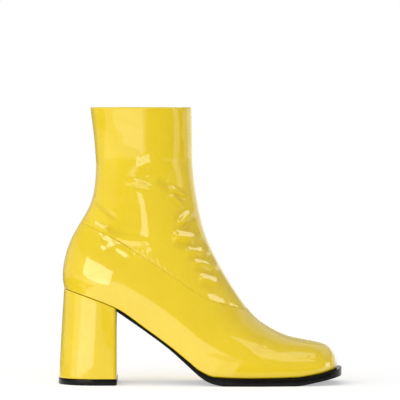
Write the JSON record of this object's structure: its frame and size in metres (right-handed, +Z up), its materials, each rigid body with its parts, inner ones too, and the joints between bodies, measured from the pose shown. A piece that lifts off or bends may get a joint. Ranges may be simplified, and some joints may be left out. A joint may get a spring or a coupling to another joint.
{
  "type": "heeled ankle boot",
  "caption": "Right ankle boot in glossy patent with a slanting foot seam, square toe, thin black sole and tall covered block heel.",
  "frame": {"origin": "on the floor under the middle of the boot's bounding box", "axes": "+X from heel to toe, +Y to the inner side of the foot, +Z up from the floor"},
  "size_m": [0.2406, 0.0834, 0.2348],
  "materials": {
    "patent": "yellow patent, glossy clear coat",
    "black_sole": "black, satin edge",
    "sock": "pale matte lining cloth"
  },
  "bodies": {
    "root": {"upper": "patent", "shaft": "patent", "heel": "patent", "outsole": "black_sole", "heel_lift": "black_sole", "insole": "sock"}
  },
  "joints": []
}
